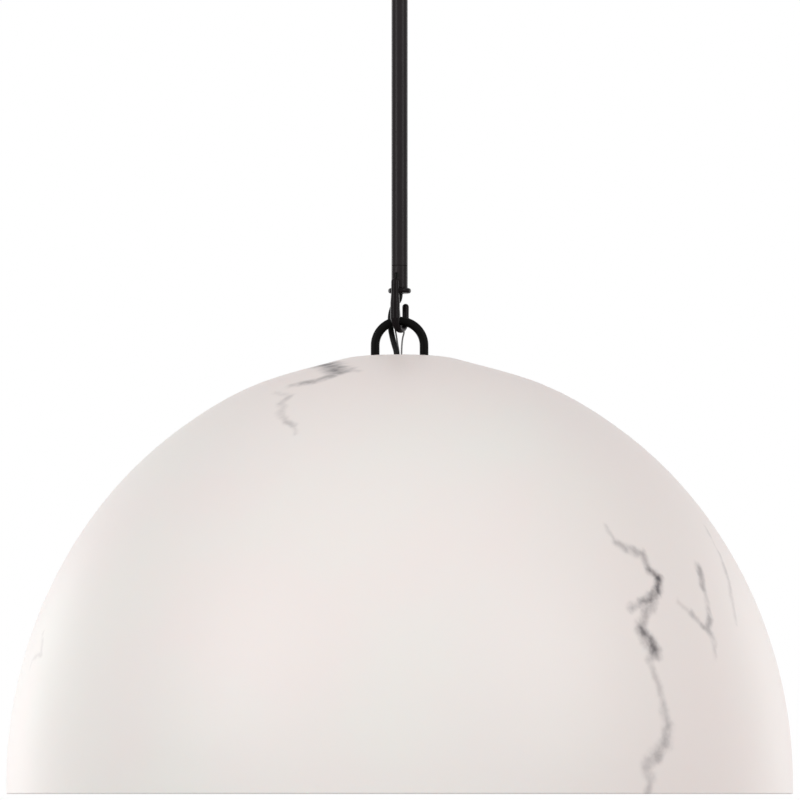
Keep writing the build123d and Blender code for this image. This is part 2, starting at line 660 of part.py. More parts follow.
def lamp_socket(turn):
    body = along_lamp(turn) * Pos(0, 0, (SOCKET_BACK + SOCKET_MOUTH) / 2) * fillet(
        Cylinder(LAMP_SOCKET_DIAMETER / 2, LAMP_SOCKET_LENGTH).edges().sort_by(Axis.Z)[0], 6)
    body -= lamp_tube(turn, LAMP_SOCKET_DIAMETER / 2 - LAMP_SOCKET_WALL, SOCKET_FLOOR, SOCKET_MOUTH + 1)
    body -= lamp_tube(turn, SOCKET_NIPPLE / 2 + SLIP, 0, SOCKET_BACK + LAMP_SOCKET_BACK_WALL / 2)
    return body - lamp_tube(turn, SOCKET_NIPPLE_BORE / 2, 0, SOCKET_MOUTH)


def screw_shell(turn):
    """Thin brass shell on the socket's floor, with a spun foot."""
    shell = lamp_tube(turn, SHELL_OUTER / 2, SOCKET_FLOOR, SOCKET_FLOOR + SHELL_LENGTH)
    foot_radius = LAMP_SOCKET_DIAMETER / 2 - LAMP_SOCKET_WALL - SLIP
    shell += lamp_tube(turn, foot_radius, SOCKET_FLOOR, SOCKET_FLOOR + 1)
    return shell - lamp_tube(turn, SHELL_OUTER / 2 - SHELL_WALL, SOCKET_FLOOR - 1, SOCKET_MOUTH)


def bulb_base(turn):
    """Screw base with its contact at the closed end."""
    base = lamp_tube(turn, BASE_DIAMETER / 2, BASE_START + 3, BASE_END)
    base += lamp_tube(turn, 5.0, BASE_START, BASE_START + 4)
    return base - lamp_tube(turn, BASE_DIAMETER / 2 - BASE_WALL, BASE_START + 4, BASE_END + 1)


def bulb_outline(wall):
    """Half section of the glass in (distance from its axis, distance along it)."""
    neck = BULB_NECK / 2 - wall
    ball = BULB_DIAMETER / 2 - wall
    ball_centre = BULB_LENGTH - BULB_DIAMETER / 2
    shoulder = math.radians(40)
    touch = (ball * math.cos(shoulder), ball_centre - ball * math.sin(shoulder))
    low = 0 if wall == 0 else -1
    rim = Line((0, low), (neck, low))
    side = Line((neck, low), (neck, 12))
    flank = Spline((neck, 12), touch, tangents=[(0, 1), (math.sin(shoulder), math.cos(shoulder))])
    cap = ThreePointArc(touch, (ball, ball_centre), (0, BULB_LENGTH - wall))
    return make_face([rim, side, flank, cap, Line((0, BULB_LENGTH - wall), (0, low))])


def bulb_glass(turn):
    solid = revolve(Plane.XZ * bulb_outline(0), Axis.Z) - revolve(Plane.XZ * bulb_outline(BULB_WALL), Axis.Z)
    return along_lamp(turn) * Pos(0, 0, BASE_END) * solid


def socket_leads():
    """One lead from the middle of the hub into each socket's nipple."""
    group = []
    for turn in lamp_turns():
        lead = lamp_tube(turn, LEAD / 2, 7.0, SOCKET_FLOOR)
        group.append(lead)
    return group


# ---------- write the parts ----------

def write(name, shape):
    solids = shape if isinstance(shape, list) else [shape]
    export_step(Compound(children=[Part(s.wrapped) for s in solids]), f"parts/{name}.step")


os.makedirs("parts", exist_ok=True)

SIMPLE = [crossbar, ground_screw, threaded_nipple, nipple_lock_nut, canopy, canopy_ring_nut,
          wire_connectors, canopy_leads, swivel_socket, swivel_cap, swivel_fork, swivel_knuckle,
          swivel_screws, rod, end_piece, cord_grip_screw, end_collar, hook, alabaster_bowl, hanging_loop,
          leg_sleeves, cord_grommet, crown_pad, spreader_plate, loop_washers, loop_nuts, hub_nipple,
          hub_nuts, lamp_hub, cover_studs, hub_cover, cap_nuts, socket_leads]
for make in SIMPLE:
    write(make.__name__, make())

for number, turn in enumerate(lamp_turns(), start=1):
    for make in (socket_nipple, lamp_socket, screw_shell, bulb_base, bulb_glass):
        write(f"{make.__name__}_{number}", make(turn))

Z_CORD_TOP = Z_LEAD_WINDOW - 2 * (LEAD + 2 * SIDE)
write("rod_cord", upright(CORD_IN_ROD, CORD, Z_COLLAR, Z_CORD_TOP))
write("rod_wires", [upright(GROUND_IN_ROD, WIRE, Z_COLLAR, Z_CORD_TOP),
                    upright(SAFETY_IN_ROD, WIRE, Z_COLLAR, Z_CORD_TOP)])
write("supply_cord", route_tube("supply cord", free_route(CORD_IN_ROD, CORD_BENDS, CORD_IN_CROWN), CORD))
write("ground_wire",
      route_tube("ground wire", free_route(GROUND_IN_ROD, GROUND_BENDS, GROUND_IN_CROWN), WIRE))
write("safety_wire",
      route_tube("safety wire", free_route(SAFETY_IN_ROD, SAFETY_BENDS, SAFETY_IN_CROWN), WIRE))
Z_CORD_END = Z_HUB - HUB_WALL - NUT_THICKNESS - 2
write("bowl_cord", upright(CORD_IN_CROWN, CORD, Z_CORD_END, Z_CROWN - CORD_DIP))
write("bowl_wires", [upright(GROUND_IN_CROWN, WIRE, Z_CORD_END, Z_CROWN - CORD_DIP),
                     upright(SAFETY_IN_CROWN, WIRE, Z_CORD_END, Z_CROWN - CORD_DIP)])
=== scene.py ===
import json
import math

import bpy
import numpy as np
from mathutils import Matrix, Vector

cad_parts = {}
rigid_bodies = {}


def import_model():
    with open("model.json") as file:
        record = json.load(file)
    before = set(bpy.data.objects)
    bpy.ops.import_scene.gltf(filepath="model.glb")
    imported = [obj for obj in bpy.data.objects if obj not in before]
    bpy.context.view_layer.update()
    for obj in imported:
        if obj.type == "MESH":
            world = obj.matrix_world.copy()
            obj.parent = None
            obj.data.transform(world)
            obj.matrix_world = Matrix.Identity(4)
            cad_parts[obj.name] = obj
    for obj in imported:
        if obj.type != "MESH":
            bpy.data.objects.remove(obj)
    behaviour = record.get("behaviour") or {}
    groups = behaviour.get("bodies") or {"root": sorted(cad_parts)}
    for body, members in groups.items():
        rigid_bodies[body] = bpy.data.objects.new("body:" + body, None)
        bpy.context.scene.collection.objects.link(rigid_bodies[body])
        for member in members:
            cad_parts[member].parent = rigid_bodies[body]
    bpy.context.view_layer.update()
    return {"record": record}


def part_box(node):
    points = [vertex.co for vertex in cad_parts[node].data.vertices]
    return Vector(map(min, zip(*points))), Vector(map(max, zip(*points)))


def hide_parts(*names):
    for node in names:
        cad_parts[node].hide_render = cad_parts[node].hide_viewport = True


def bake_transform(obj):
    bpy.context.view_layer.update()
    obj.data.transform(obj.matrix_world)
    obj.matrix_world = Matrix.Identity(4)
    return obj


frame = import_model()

# ---------- places taken from the frame, in metres ----------

BOWL_LOW, BOWL_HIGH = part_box("alabaster_bowl")
RIM = BOWL_LOW[2]
GROMMET_DROP = 0.0003  # from the crown down to the grommet's top
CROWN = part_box("cord_grommet")[1][2] + GROMMET_DROP
BOWL_RADIUS = BOWL_HIGH[0]
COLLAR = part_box("end_collar")[0][2]
JOINTS = {joint["name"]: joint for joint in frame["record"]["behaviour"]["joints"]}
PIVOT = JOINTS["swivel_tilt"]["pos_m"][2]
SKIRT = 0.0086  # straight part of the bowl above its rim
DOME_RISE = CROWN - RIM - SKIRT

# ---------- camera ----------

FRAME_PX = 800
VIEW_DISTANCE = 5.0
FOCAL_PX = 6431.0
HORIZON_PX = 794.0  # the rim's height in the photograph's frame
AXIS_PX = 399.6
SENSOR = 36.0
CAMERA_REACH = 100
PITCH = math.atan((HORIZON_PX - FRAME_PX / 2) / FOCAL_PX)


def make_camera():
    """Camera at the rim's height, pitched up so that the rim is low in the frame."""
    camera = bpy.data.cameras.new("camera")
    camera.sensor_width = SENSOR
    camera.lens = FOCAL_PX / FRAME_PX * SENSOR
    camera.shift_x = (FRAME_PX / 2 - AXIS_PX) / FRAME_PX
    camera.clip_end = CAMERA_REACH
    holder = bpy.data.objects.new("camera", camera)
    holder.location = (0, -VIEW_DISTANCE, RIM)
    holder.rotation_euler = (math.pi / 2 + PITCH, 0, 0)
    bpy.context.collection.objects.link(holder)
    bpy.context.scene.camera = holder


make_camera()

# ---------- meshes ----------


ROUTE_STEPS = 10  # points between two of a route's control points
TUBE_SIDES = 20


def new_mesh(name, points, faces, smooth=True):
    """An object at the origin from arrays of points and faces."""
    mesh = bpy.data.meshes.new(name)
    mesh.from_pydata([tuple(p) for p in points], [], [tuple(f) for f in faces])
    mesh.polygons.foreach_set("use_smooth", [smooth] * len(mesh.polygons))
    mesh.update()
    piece = bpy.data.objects.new(name, mesh)
    bpy.context.collection.objects.link(piece)
    return piece


def grid_faces(rows, columns):
    """Quads of a grid of points whose columns close into a ring."""
    row = np.arange(rows - 1)[:, None]
    column = np.arange(columns)[None, :]
    right = (column + 1) % columns
    a, b = row * columns + column, row * columns + right
    return np.stack([a, b, b + columns, a + columns], axis=-1).reshape(-1, 4)


def route_line(points):
    """Points along the NURBS spline that has the route's points as its control points."""
    curve = bpy.data.curves.new("route", "CURVE")
    curve.dimensions = "3D"
    curve.resolution_u = ROUTE_STEPS
    spline = curve.splines.new("NURBS")
    spline.points.add(len(points) - 1)
    for target, point in zip(spline.points, points):
        target.co = (*point, 1)
    spline.order_u = 3
    spline.use_endpoint_u = True
    holder = bpy.data.objects.new("route", curve)
    bpy.context.collection.objects.link(holder)
    mesh = bpy.data.meshes.new_from_object(holder)
    line = np.array([v.co for v in mesh.vertices])
    bpy.data.objects.remove(holder)
    bpy.data.meshes.remove(mesh)
    return line


def tube_mesh(name, line, radius):
    """A round tube: a circle carried along the line, square to it, both ends capped.

    Each ring's first direction is the one before it less its part along the line,
    so the rings never twist.
    """
    along = np.gradient(line, axis=0)
    along /= np.linalg.norm(along, axis=1)[:, None]
    first = np.zeros_like(along)
    direction = np.array([0.0, 1.0, 0.0])
    for i, forward in enumerate(along):
        direction = direction - forward * direction.dot(forward)
        direction /= np.linalg.norm(direction)
        first[i] = direction
    second = np.cross(along, first)
    angle = np.linspace(0, 2 * math.pi, TUBE_SIDES, endpoint=False)[None, :, None]
    circle = np.cos(angle) * first[:, None] + np.sin(angle) * second[:, None]
    rings = line[:, None, :] + radius * circle
    points = rings.reshape(-1, 3)
    faces = [tuple(f) for f in grid_faces(len(line), TUBE_SIDES)]
    faces.append(tuple(range(TUBE_SIDES))[::-1])
    faces.append(tuple(range(len(points) - TUBE_SIDES, len(points))))
    return new_mesh(name, points, faces)


# ---------- shader maths ----------


class Value:
    """A socket with arithmetic: each operation adds its Math node."""

    def __init__(self, finish, socket):
        self.finish = finish
        self.socket = socket

    def math(self, operation, *others):
        return self.finish.node("ShaderNodeMath", {"operation": operation}, [self, *others])

    def __add__(self, other):
        return self.math("ADD", other)

    def __sub__(self, other):
        return self.math("SUBTRACT", other)

    def __mul__(self, other):
        return self.math("MULTIPLY", other)

    def largest(self, other):
        return self.math("MAXIMUM", other)

    def power(self, other):
        return self.math("POWER", other)


class Finish:
    """One material: its nodes are added by node(), its surface by surface()."""

    def __init__(self, name):
        self.material = bpy.data.materials.new(name)
        self.material.use_nodes = True
        self.tree = self.material.node_tree
        self.shader = self.tree.nodes["Principled BSDF"]

    def node(self, kind, settings=None, inputs=None, output=0):
        made = self.tree.nodes.new(kind)
        for key, value in (settings or {}).items():
            setattr(made, key, value)
        pairs = inputs.items() if isinstance(inputs, dict) else enumerate(inputs or [])
        for key, value in pairs:
            if isinstance(value, Value):
                self.tree.links.new(value.socket, made.inputs[key])
            else:
                made.inputs[key].default_value = value
        return Value(self, made.outputs[output])

    def position(self):
        return self.node("ShaderNodeTexCoord", output="Object")

    def noise(self, where, scale, detail=3.0, output=0, distortion=0.0):
        inputs = {"Vector": where, "Scale": scale, "Detail": detail, "Distortion": distortion}
        return self.node("ShaderNodeTexNoise", None, inputs, output)

    def spread(self, value, low, high, to_low=0.0, to_high=1.0):
        """Smooth step of a value from one range to another."""
        settings = {"interpolation_type": "SMOOTHSTEP"}
        return self.node("ShaderNodeMapRange", settings, [value, low, high, to_low, to_high])

    def mix(self, share, first, second):
        """Mix of two colours; 6 and 7 are the Mix node's colour inputs and 2 is its colour output."""
        first, second = [(*c, 1) if isinstance(c, tuple) else c for c in (first, second)]
        return self.node("ShaderNodeMix", {"data_type": "RGBA"}, {0: share, 6: first, 7: second}, 2)

    def vector(self, operation, *inputs, output=0):
        return self.node("ShaderNodeVectorMath", {"operation": operation}, list(inputs), output)

    def scaled(self, vector, share):
        return self.node("ShaderNodeVectorMath", {"operation": "SCALE"}, {0: vector, "Scale": share})

    def bump(self, height, strength, distance):
        inputs = {"Strength": strength, "Distance": distance, "Height": height}
        return self.node("ShaderNodeBump", None, inputs)

    def surface(self, **sockets):
        """Values for the shader's own sockets, with spaces written as underscores."""
        for key, value in sockets.items():
            socket = self.shader.inputs[key.replace("_", " ")]
            if isinstance(value, Value):
                self.tree.links.new(value.socket, socket)
            elif isinstance(value, tuple):
                socket.default_value = value if socket.type == "VECTOR" else (*value, 1)
            else:
                socket.default_value = value
        return self.material


# ---------- alabaster ----------

# Vein points as places read off the photograph's 800 x 800 frame, each with a width in
# millimetres and the darkness from 0 to 1 that the vein has from there on.
RIGHT_VEIN = [(606, 526, 1.6, 0.35), (615, 543, 2.2, 0.5), (626, 548, 2.2, 0.55), (643, 554, 2.4, 0.6),
              (650, 569, 2.6, 0.85), (660, 579, 2.6, 1.0), (658, 591, 2.4, 0.9), (650, 599, 2.2, 0.75),
              (640, 604, 2.0, 0.6), (629, 611, 1.6, 0.4)]
RIGHT_VEIN_LOW = [(656, 600, 2.2, 0.6), (646, 612, 2.4, 0.6), (641, 628, 3.0, 0.9), (649, 640, 3.6, 1.0),
                  (654, 650, 2.2, 0.5), (650, 661, 2.0, 0.4), (654, 676, 2.2, 0.4), (661, 692, 2.6, 0.45),
                  (664, 710, 2.8, 0.5), (668, 726, 3.2, 0.6), (667, 742, 3.2, 0.65), (656, 756, 2.8, 0.5),
                  (646, 766, 2.6, 0.45), (650, 782, 2.4, 0.45), (648, 795, 2.4, 0.45)]
FAR_RIGHT_VEIN = [(700, 570, 2.6, 0.65), (703, 588, 2.2, 0.5), (708, 604, 2.2, 0.5), (711, 618, 2.4, 0.6),
                  (709, 630, 2.4, 0.6), (715, 640, 2.0, 0.5), (716, 654, 1.6, 0.3)]
BRANCH_VEIN = [(679, 603, 1.6, 0.35), (691, 615, 2.0, 0.5), (702, 627, 2.2, 0.6), (713, 636, 1.8, 0.4)]
EDGE_VEIN = [(706, 527, 1.4, 0.3), (718, 550, 1.8, 0.45), (726, 574, 1.8, 0.4), (731, 596, 1.6, 0.35),
             (737, 624, 1.4, 0.2)]
TOP_VEIN = [(357, 371, 2.4, 0.35), (346, 369, 3.6, 0.6), (336, 367, 5.0, 0.9), (328, 364, 5.5, 1.0),
            (317, 364, 3.4, 0.5)]
TOP_LINK = [(330, 365, 5.0, 0.9), (338, 372, 4.0, 0.75), (345, 371, 2.6, 0.4)]
TOP_VEIN_LOW = [(342, 373, 2.6, 0.5), (330, 376, 3.6, 0.7), (316, 381, 3.4, 0.75), (303, 383, 2.6, 0.45),
                (291, 386, 2.0, 0.25)]
TOP_TAIL = [(274, 393, 1.6, 0.25), (291, 396, 2.0, 0.45), (283, 403, 2.0, 0.4), (279, 412, 2.0, 0.35),
            (286, 421, 2.0, 0.45), (295, 425, 1.6, 0.3), (297, 433, 1.4, 0.2)]
LEFT_EDGE_VEIN = [(44, 632, 1.6, 0.3), (41, 656, 1.6, 0.3), (33, 660, 1.2, 0.25), (27, 680, 1.0, 0.15)]
FRONT_VEINS = [RIGHT_VEIN, RIGHT_VEIN_LOW, FAR_RIGHT_VEIN, BRANCH_VEIN, EDGE_VEIN, TOP_VEIN, TOP_LINK,
               TOP_VEIN_LOW, TOP_TAIL, LEFT_EDGE_VEIN]
VEIN_FADE = 3.4e-3  # metres from the middle of a vein to where it has faded, per millimetre of width
TOP_SHARE = 0.9999  # the dome's outline stops just short of the crown, where its radius is nil
RAY_ROUNDS = 60  # rounds of averaging that bring a ray to the dome

STONE_WARM, STONE_COOL = (0.855, 0.800, 0.775), (0.842, 0.820, 0.785)
STONE_PINK, STONE_BLUSH = (0.87, 0.785, 0.762), (0.870, 0.775, 0.745)
BLUSH_DROP = 0.09  # the top blush ends this far below the crown
VEIN_HALO, VEIN_CORE = (0.62, 0.565, 0.565), (0.085, 0.073, 0.080)
CENTRED = (0.5, 0.5, 0.5)


def dome_radius(height):
    """Outer radius of the bowl at a height above its rim.

    It is the rim's radius times the root of one less the square of the height's share of the rise.
    """
    share = np.clip((height - SKIRT) / DOME_RISE, 0, TOP_SHARE)
    return BOWL_RADIUS * math.sqrt(1 - share * share)


def on_dome(across_px, down_px):
    """Where the camera's ray through a pixel meets the front of the dome.

    The ray's depth is averaged with the depth of the dome's front at that place, until both agree.
    """
    up = (FRAME_PX / 2 - down_px) / FOCAL_PX
    forward = math.cos(PITCH) - up * math.sin(PITCH)
    slope = (math.sin(PITCH) + up * math.cos(PITCH)) / forward
    drift = (across_px - AXIS_PX) / FOCAL_PX / forward
    depth = 0.0
    for _ in range(RAY_ROUNDS):
        x = drift * (VIEW_DISTANCE + depth)
        height = slope * (VIEW_DISTANCE + depth)
        reach = dome_radius(height)
        depth = 0.5 * (depth - math.sqrt(max(0.0, reach * reach - x * x)))
    return np.array([x, depth, RIM + height])


def vein_mask(finish, where, vein):
    """Largest, over the vein's runs, of darkness fading with the distance from the run."""
    mask = None
    points = [on_dome(across, down) for across, down, _, _ in vein]
    for (_, _, width, dark), start, end in zip(vein, points, points[1:]):
        run = end - start
        offset = finish.vector("SUBTRACT", where, tuple(start))
        share = finish.vector("DOT_PRODUCT", offset, tuple(run / run.dot(run)), output="Value")
        share = finish.node("ShaderNodeClamp", None, [share, 0.0, 1.0])
        nearest = finish.scaled(tuple(run), share)
        distance = finish.vector("DISTANCE", offset, nearest, output="Value")
        near = finish.spread(distance, 0.0, width * VEIN_FADE, dark, 0.0)
        mask = near if mask is None else mask.largest(near)
    return mask


def alabaster():
    """Honed stone: pale clouds, a blush to the right and at the top, soft grey veins in front.

    Thin wisps of the same grey stand in for the veins of the back and the inside.
    """
    finish = Finish("alabaster")
    place = finish.position()
    coarse = finish.vector("SUBTRACT", finish.noise(place, 28.0, 3.0, "Color"), CENTRED)
    fine = finish.vector("SUBTRACT", finish.noise(place, 120.0, 4.0, "Color"), CENTRED)
    warped = finish.vector("ADD", place, finish.scaled(coarse, 0.014))
    warped = finish.vector("ADD", warped, finish.scaled(fine, 0.006))
    veins = None
    for vein in FRONT_VEINS:
        mask = vein_mask(finish, warped, vein)
        veins = mask if veins is None else veins.largest(mask)
    veins = veins * finish.spread(finish.noise(place, 90.0, 3.0), 0.25, 0.62, 0.6, 1.0)

    # wisps away from the front: thin bands where a bent noise crosses its middle
    ridge = finish.noise(warped, 5.2, 2.0, 0, 0.9)
    ridge = finish.node("ShaderNodeMath", {"operation": "ABSOLUTE"}, [ridge - 0.5])
    patches = finish.spread(finish.noise(place, 3.4, 1.0), 0.53, 0.62)
    depth = finish.node("ShaderNodeSeparateXYZ", None, [place], 1)
    behind = finish.spread(depth, 0.03, 0.11)
    wisps = finish.spread(ridge, 0.0, 0.017, 0.8, 0.0) * patches * behind
    veins = veins.largest(wisps)

    clouds = finish.noise(place, 4.0, 3.0)
    warm = finish.noise(finish.vector("ADD", place, (3.0, 1.0, 2.0)), 7.0, 2.0)
    colour = finish.mix(finish.spread(clouds, 0.35, 0.68), STONE_WARM, STONE_COOL)
    colour = finish.mix(finish.spread(warm, 0.45, 0.7, 0.0, 0.5), colour, STONE_PINK)
    across = finish.node("ShaderNodeSeparateXYZ", None, [place], 0)
    rise = finish.node("ShaderNodeSeparateXYZ", None, [place], 2)
    right_blush = finish.spread(across, 0.04, 0.22, 0.0, 0.6)
    top_blush = finish.spread(rise, CROWN - BLUSH_DROP, CROWN, 0.0, 0.7)
    colour = finish.mix(right_blush.largest(top_blush), colour, STONE_BLUSH)
    halo = finish.spread(veins, 0.0, 0.6, 0.0, 0.4)
    colour = finish.mix(halo, colour, VEIN_HALO)
    colour = finish.mix(veins.power(1.7), colour, VEIN_CORE)
    grain = finish.noise(place, 900.0, 2.0)
    relief = finish.noise(place, 14.0, 2.0)
    return finish.surface(Base_Color=colour, Roughness=finish.spread(grain, 0.3, 0.7, 0.42, 0.56),
                          Normal=finish.bump(relief + grain * 0.02, 0.12, 0.004), Specular_IOR_Level=0.35,
                          Subsurface_Weight=0.12, Subsurface_Radius=(0.02, 0.012, 0.009),
                          Subsurface_Scale=0.5)


# ---------- metal, rubber, plastic and glass ----------


def worn_metal(name, dark, light, rough_low, rough_high, metallic, scale=90.0, bump=0.05, shine=0.5):
    """Coated or plated metal: cloudy colour and gloss, fine grain in the coat, rubbed convex edges."""
    finish = Finish(name)
    place = finish.position()
    cloud = finish.noise(place, scale, 4.0)
    grain = finish.noise(place, scale * 22, 2.0)
    edge = finish.node("ShaderNodeNewGeometry", output="Pointiness")
    rubbed = finish.spread(edge, 0.53, 0.62, 0.0, 0.45)
    colour = finish.mix(finish.spread(cloud, 0.3, 0.7), dark, light)
    colour = finish.mix(rubbed, colour, tuple(min(1.0, 2.2 * part + 0.02) for part in light))
    rough = finish.spread(cloud + grain * 0.35, 0.4, 0.95, rough_low, rough_high)
    return finish.surface(Base_Color=colour, Roughness=rough, Metallic=metallic, Specular_IOR_Level=shine,
                          Normal=finish.bump(grain, bump, 0.0004))


def turned_metal(name, dark, light, rough, scale=700.0):
    """Plated steel with fine level lines from the lathe or the drawing die."""
    finish = Finish(name)
    place = finish.position()
    stretched = finish.vector("MULTIPLY", place, (0.15, 0.15, 1.0))
    lines = finish.noise(stretched, scale, 3.0)
    cloud = finish.noise(place, 60.0, 3.0)
    colour = finish.mix(finish.spread(lines * 0.6 + cloud * 0.4, 0.3, 0.7), dark, light)
    return finish.surface(Base_Color=colour, Roughness=finish.spread(lines, 0.3, 0.7, rough, rough + 0.16),
                          Metallic=0.92, Normal=finish.bump(lines, 0.08, 0.0003))


def moulded(name, dark, light, rough, grain_scale=1500.0, bump=0.06, **sockets):
    """Rubber, plastic or jacket: slight cloudiness and a fine moulded grain."""
    finish = Finish(name)
    place = finish.position()
    cloud = finish.noise(place, 130.0, 3.0)
    grain = finish.noise(place, grain_scale, 2.0)
    colour = finish.mix(finish.spread(cloud, 0.3, 0.7), dark, light)
    return finish.surface(Base_Color=colour, Roughness=finish.spread(grain, 0.3, 0.7, rough, rough + 0.15),
                          Normal=finish.bump(grain, bump, 0.0003), **sockets)


def stranded_wire():
    """Bare stranded wire: thin slanted bands for the strands that wind round it, with painted shade in the
    grooves and painted highlight on the crowns.
    """
    finish = Finish("stranded_wire")
    place = finish.position()
    bands = finish.node("ShaderNodeTexWave", {"bands_direction": "DIAGONAL"},
                        {"Vector": place, "Scale": 420.0, "Distortion": 0.6})
    # painted shade and highlight: the colour is darker in the grooves between the strands and lighter on
    # their crowns
    colour = finish.mix(bands, (0.10, 0.098, 0.095), (0.21, 0.207, 0.203))
    rough = finish.spread(bands, 0.0, 1.0, 0.55, 0.42)
    return finish.surface(Base_Color=colour, Roughness=rough, Metallic=0.3,
                          Normal=finish.bump(bands, 0.4, 0.0003))


def frosted_glass():
    """Bulb glass, white and cloudy, with a fine etched grain."""
    finish = Finish("frosted_glass")
    place = finish.position()
    cloud = finish.noise(place, 40.0, 2.0)
    grain = finish.noise(place, 2500.0, 2.0)
    colour = finish.mix(finish.spread(cloud, 0.3, 0.7), (0.87, 0.86, 0.83), (0.92, 0.91, 0.885))
    return finish.surface(Base_Color=colour, Roughness=finish.spread(grain, 0.3, 0.7, 0.42, 0.58),
                          Transmission_Weight=0.25, Normal=finish.bump(grain, 0.05, 0.0002))


DARK_BRONZE = worn_metal("dark_bronze", (0.0062, 0.0045, 0.0052), (0.0092, 0.0068, 0.0076),
                         0.19, 0.27, 0.0, shine=0.07)
BLACK_IRON = worn_metal("black_iron", (0.0020, 0.0020, 0.0018), (0.0034, 0.0033, 0.0030),
                        0.40, 0.55, 0.0, 140.0, shine=0.05)
ZINC = turned_metal("zinc_steel", (0.50, 0.50, 0.50), (0.68, 0.68, 0.67), 0.28)
WHITE_METAL = worn_metal("white_metal", (0.78, 0.775, 0.75), (0.84, 0.835, 0.81),
                         0.35, 0.5, 0.0, 50.0, 0.03)
BRASS = turned_metal("brass", (0.62, 0.43, 0.19), (0.78, 0.58, 0.29), 0.26)
BASE_METAL = turned_metal("base_metal", (0.60, 0.60, 0.58), (0.76, 0.76, 0.74), 0.22)
GREEN = worn_metal("green_screw", (0.03, 0.20, 0.08), (0.05, 0.30, 0.13), 0.3, 0.45, 0.4)
ORANGE = moulded("orange_plastic", (0.66, 0.22, 0.035), (0.78, 0.29, 0.05), 0.25)
LEAD = moulded("lead_white", (0.72, 0.71, 0.68), (0.80, 0.795, 0.77), 0.4)
CORD_JACKET = moulded("cord_black", (0.0028, 0.0028, 0.0028), (0.0060, 0.0060, 0.0058), 0.45, 900.0, 0.10,
                      Specular_IOR_Level=0.12)
RUBBER = moulded("black_rubber", (0.010, 0.010, 0.010), (0.022, 0.021, 0.020), 0.62)
SOCKET = moulded("socket_black", (0.014, 0.013, 0.013), (0.028, 0.026, 0.025), 0.38)
WIRE = stranded_wire()
GLASS = frosted_glass()

ALABASTER = alabaster()

FINISHES = {"alabaster": ALABASTER, "dark_bronze": DARK_BRONZE, "black_iron": BLACK_IRON,
            "zinc_steel": ZINC, "white_metal": WHITE_METAL, "brass": BRASS, "base_metal": BASE_METAL,
            "green_screw": GREEN, "orange_plastic": ORANGE, "lead_white": LEAD, "cord_black": CORD_JACKET,
            "black_rubber": RUBBER, "socket_black": SOCKET, "wire_grey": WIRE, "frosted_glass": GLASS}


def put_finish(piece, material):
    piece.data.materials.clear()
    piece.data.materials.append(material)


for entry in frame["record"]["subparts"]:
    put_finish(bpy.data.objects[entry["node"]], FINISHES[entry["material_slot"]])

# ---------- cord and wires ----------
# Routes as (x, y) in millimetres and the height in millimetres above the crown.

CORD_RADIUS = 0.00225
WIRE_RADIUS = 0.00065
COLLAR_RISE = (COLLAR - CROWN) * 1000
COLLAR_RUN = 4.5  # straight out of the collar
CROWN_RUN = 5.0  # straight into the grommet
DIP = 2.0  # the stretches end this far inside the grommet


def route(top, bends, bottom):
    """Upright out of the collar, round the bends, upright into the grommet."""
    start = [(*top, COLLAR_RISE), (*top, COLLAR_RISE - COLLAR_RUN)]
    return start + bends + [(*bottom, CROWN_RUN - DIP), (*bottom, -DIP)]


CORD_IN_ROD = (0.2, 0.9)
GROUND_IN_ROD = (-0.7, -2.45)
SAFETY_IN_ROD = (-2.3, -1.1)
CORD_BENDS = [(-2.9, 2.1, 41.5), (-5.5, 4.2, 38.0), (-6.9, 6.4, 33.0), (-7.25, 7.6, 27.2),
              (-6.9, 7.0, 20.8), (-4.6, 3.3, 10.4)]
GROUND_BENDS = [(-0.8, -1.5, 41.6), (-0.5, 1.6, 37.6), (-0.1, 4.9, 33.6), (0.1, 7.4, 28.6),
                (1.2, 8.6, 23.6), (3.9, 7.9, 19.8), (2.4, 5.2, 15.0), (1.8, 2.9, 9.8)]
SAFETY_BENDS = [(-2.5, -1.7, 41.0), (-2.5, 0.5, 36.8), (-2.8, 4.3, 32.6), (-3.75, 6.8, 27.4),
                (-3.45, 6.7, 21.2), (-2.3, 6.2, 15.2), (-1.5, 5.1, 9.2)]


def in_metres(points):
    return [(x / 1000, y / 1000, CROWN + rise / 1000) for x, y, rise in points]


def hanging_cord(node, slot, turns, radius):
    """The free stretch between collar and bowl, drawn as a tube along its route."""
    points = in_metres(turns)
    line = route_line(points)
    piece = tube_mesh(node + "_shown", line, radius)
    put_finish(piece, FINISHES[slot])
    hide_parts(node)
    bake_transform(piece)


CORD_ROUTE = route(CORD_IN_ROD, CORD_BENDS, (-2.15, 0.3))
GROUND_ROUTE = route(GROUND_IN_ROD, GROUND_BENDS, (1.5, 1.0))
SAFETY_ROUTE = route(SAFETY_IN_ROD, SAFETY_BENDS, (-0.45, 2.95))
hanging_cord("supply_cord", "cord_black", CORD_ROUTE, CORD_RADIUS)
hanging_cord("ground_wire", "wire_grey", GROUND_ROUTE, WIRE_RADIUS)
hanging_cord("safety_wire", "wire_grey", SAFETY_ROUTE, WIRE_RADIUS)


BEND_OUTER = 0.012  # metres above and below the pivot where the close rings begin
BEND_INNER = 0.011
SWIVEL_BLEND = 0.009


def straight_in_rod(name, place, radius, z_high):
    """A straight tube in the rod, with its rings close together around the swivel."""
    x, y = place[0] / 1000, place[1] / 1000
    above = np.linspace(z_high, PIVOT + BEND_OUTER, 4)
    near = np.linspace(PIVOT + BEND_INNER, PIVOT - BEND_INNER, 15)
    below = np.linspace(PIVOT - BEND_OUTER, COLLAR, 12)
    heights = np.concatenate([above, near, below])
    line = np.stack([np.full_like(heights, x), np.full_like(heights, y), heights], axis=1)
    return tube_mesh(name, line, radius)


